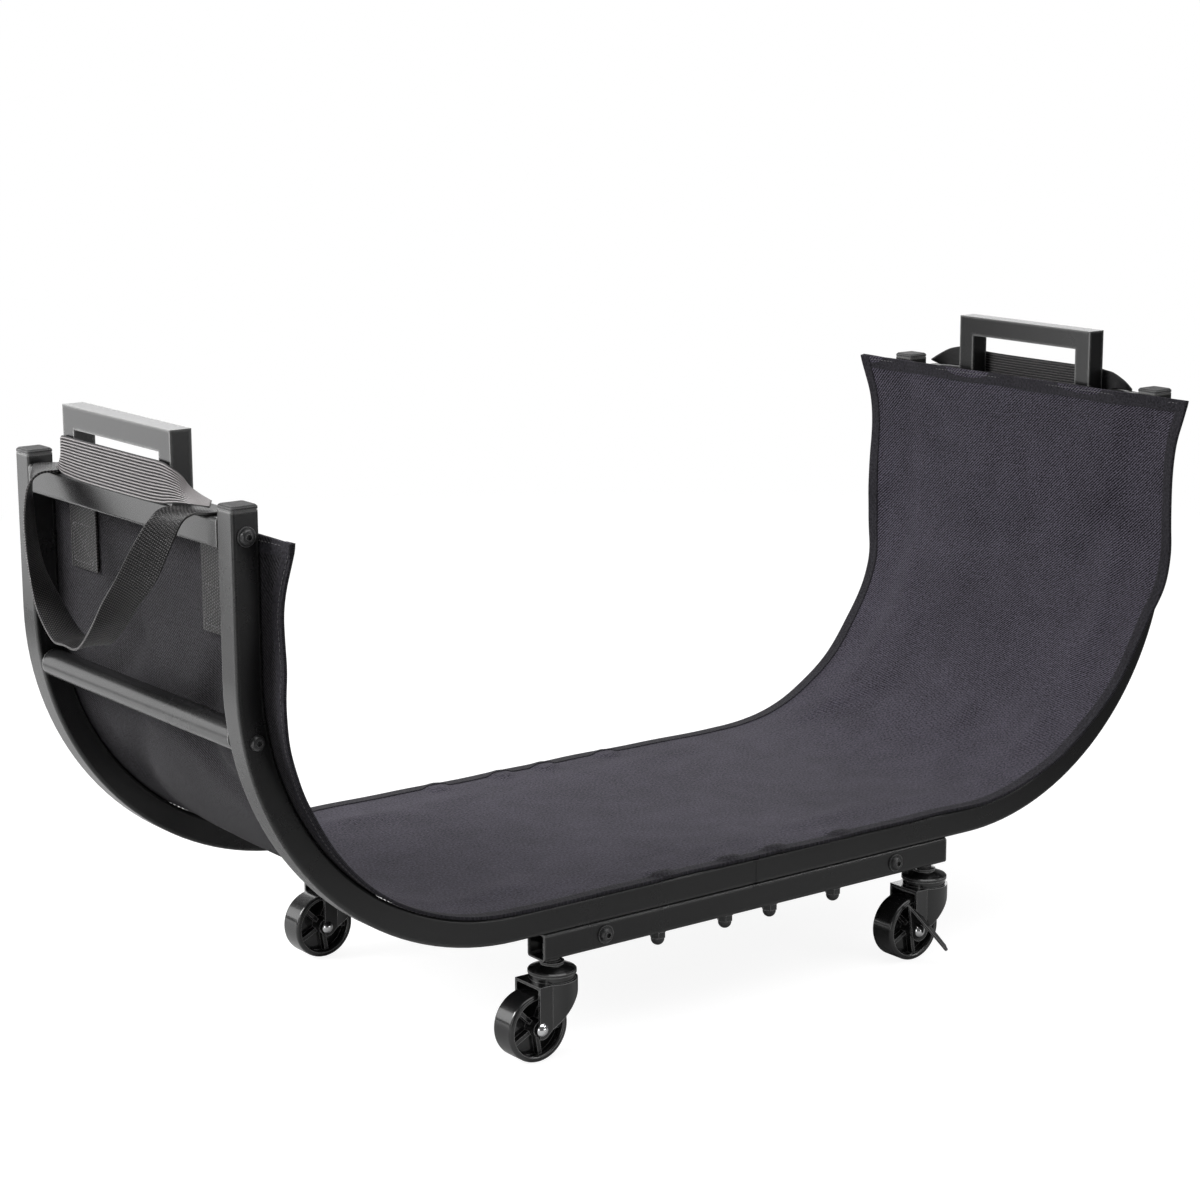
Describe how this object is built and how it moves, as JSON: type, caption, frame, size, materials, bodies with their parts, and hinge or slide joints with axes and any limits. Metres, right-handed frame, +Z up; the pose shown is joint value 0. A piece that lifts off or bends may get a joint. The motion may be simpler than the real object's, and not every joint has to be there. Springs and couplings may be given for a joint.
{
  "type": "fireside log cart",
  "caption": "Rolling firewood cart: curved square-tube side frames, hanging canvas liner with carrying straps, end handles and swivel casters, two with foot brakes.",
  "frame": {"origin": "on the floor under the middle of the cart, where the wheels touch down", "axes": "+X along the cart towards its right end, +Y across it towards the back, +Z up"},
  "size_m": [1.196, 0.475, 0.581],
  "materials": {
    "frame_coat": "satin black powder coat",
    "inner_zinc": "zinc plated",
    "cap_plastic": "black moulded plastic",
    "black_hardware": "black oxide",
    "canvas": "charcoal woven canvas",
    "webbing": "black ribbed webbing",
    "ribbed_band": "black band with raised ribs",
    "caster_zinc": "zinc plated",
    "caster_black": "gloss black",
    "axle_chrome": "polished",
    "wheel_black": "gloss black"
  },
  "bodies": {
    "frame": {"frame_front_left": "frame_coat", "frame_front_right": "frame_coat", "frame_back_left": "frame_coat", "frame_back_right": "frame_coat", "crossbar_left": "frame_coat", "crossbar_right": "frame_coat", "handle_left": "frame_coat", "handle_right": "frame_coat", "lower_bar_left": "frame_coat", "lower_bar_right": "frame_coat", "rail_front": "frame_coat", "rail_back": "frame_coat", "cross_tube_left": "frame_coat", "cross_tube_right": "frame_coat", "frame_splices": "inner_zinc", "bar_inserts": "inner_zinc", "stem_nuts": "inner_zinc", "end_caps": "cap_plastic", "crossbar_bolts": "black_hardware", "lower_bar_bolts": "black_hardware", "rail_bolts": "black_hardware", "washers": "black_hardware", "clamp_bolts": "black_hardware", "cap_nuts": "black_hardware", "liner": "canvas", "carry_strap_left": "webbing", "carry_strap_right": "webbing", "grip_band_left": "ribbed_band", "grip_band_right": "ribbed_band", "stem_fl": "caster_zinc", "race_cap_fl": "caster_black", "stem_fr": "caster_zinc", "race_cap_fr": "caster_black", "stem_bl": "caster_zinc", "race_cap_bl": "caster_black", "stem_br": "caster_zinc", "race_cap_br": "caster_black"},
    "swivel_fl": {"fork_fl": "caster_black", "axle_fl": "axle_chrome", "ball_ring_fl": "caster_zinc"},
    "wheel_fl": {"wheel_fl": "wheel_black"},
    "swivel_fr": {"fork_fr": "caster_black", "axle_fr": "axle_chrome", "ball_ring_fr": "caster_zinc"},
    "wheel_fr": {"wheel_fr": "wheel_black"},
    "swivel_bl": {"fork_bl": "caster_black", "axle_bl": "axle_chrome", "ball_ring_bl": "caster_zinc"},
    "wheel_bl": {"wheel_bl": "wheel_black"},
    "swivel_br": {"fork_br": "caster_black", "axle_br": "axle_chrome", "ball_ring_br": "caster_zinc"},
    "wheel_br": {"wheel_br": "wheel_black"},
    "brake_fr": {"brake_lever_fr": "caster_black"},
    "brake_br": {"brake_lever_br": "caster_black"}
  },
  "joints": [
    {"name": "swivel_fl", "type": "hinge", "parent": "frame", "child": "swivel_fl", "pos_m": [-0.225, -0.179, 0.0725], "axis": [0, 0, 1], "continuous": true},
    {"name": "roll_fl", "type": "hinge", "parent": "swivel_fl", "child": "wheel_fl", "pos_m": [-0.249, -0.179, 0.0315], "axis": [0, 1, 0], "continuous": true},
    {"name": "swivel_fr", "type": "hinge", "parent": "frame", "child": "swivel_fr", "pos_m": [0.225, -0.179, 0.0725], "axis": [0, 0, 1], "continuous": true},
    {"name": "roll_fr", "type": "hinge", "parent": "swivel_fr", "child": "wheel_fr", "pos_m": [0.201, -0.179, 0.0315], "axis": [0, 1, 0], "continuous": true},
    {"name": "brake_fr", "type": "hinge", "parent": "swivel_fr", "child": "brake_fr", "pos_m": [0.201, -0.179, 0.0315], "axis": [0, 1, 0], "range_deg": [0, 25]},
    {"name": "swivel_bl", "type": "hinge", "parent": "frame", "child": "swivel_bl", "pos_m": [-0.225, 0.179, 0.0725], "axis": [0, 0, 1], "continuous": true},
    {"name": "roll_bl", "type": "hinge", "parent": "swivel_bl", "child": "wheel_bl", "pos_m": [-0.249, 0.179, 0.0315], "axis": [0, 1, 0], "continuous": true},
    {"name": "swivel_br", "type": "hinge", "parent": "frame", "child": "swivel_br", "pos_m": [0.225, 0.179, 0.0725], "axis": [0, 0, 1], "continuous": true},
    {"name": "roll_br", "type": "hinge", "parent": "swivel_br", "child": "wheel_br", "pos_m": [0.201, 0.179, 0.0315], "axis": [0, 1, 0], "continuous": true},
    {"name": "brake_br", "type": "hinge", "parent": "swivel_br", "child": "brake_br", "pos_m": [0.201, 0.179, 0.0315], "axis": [0, 1, 0], "range_deg": [0, 25]}
  ]
}
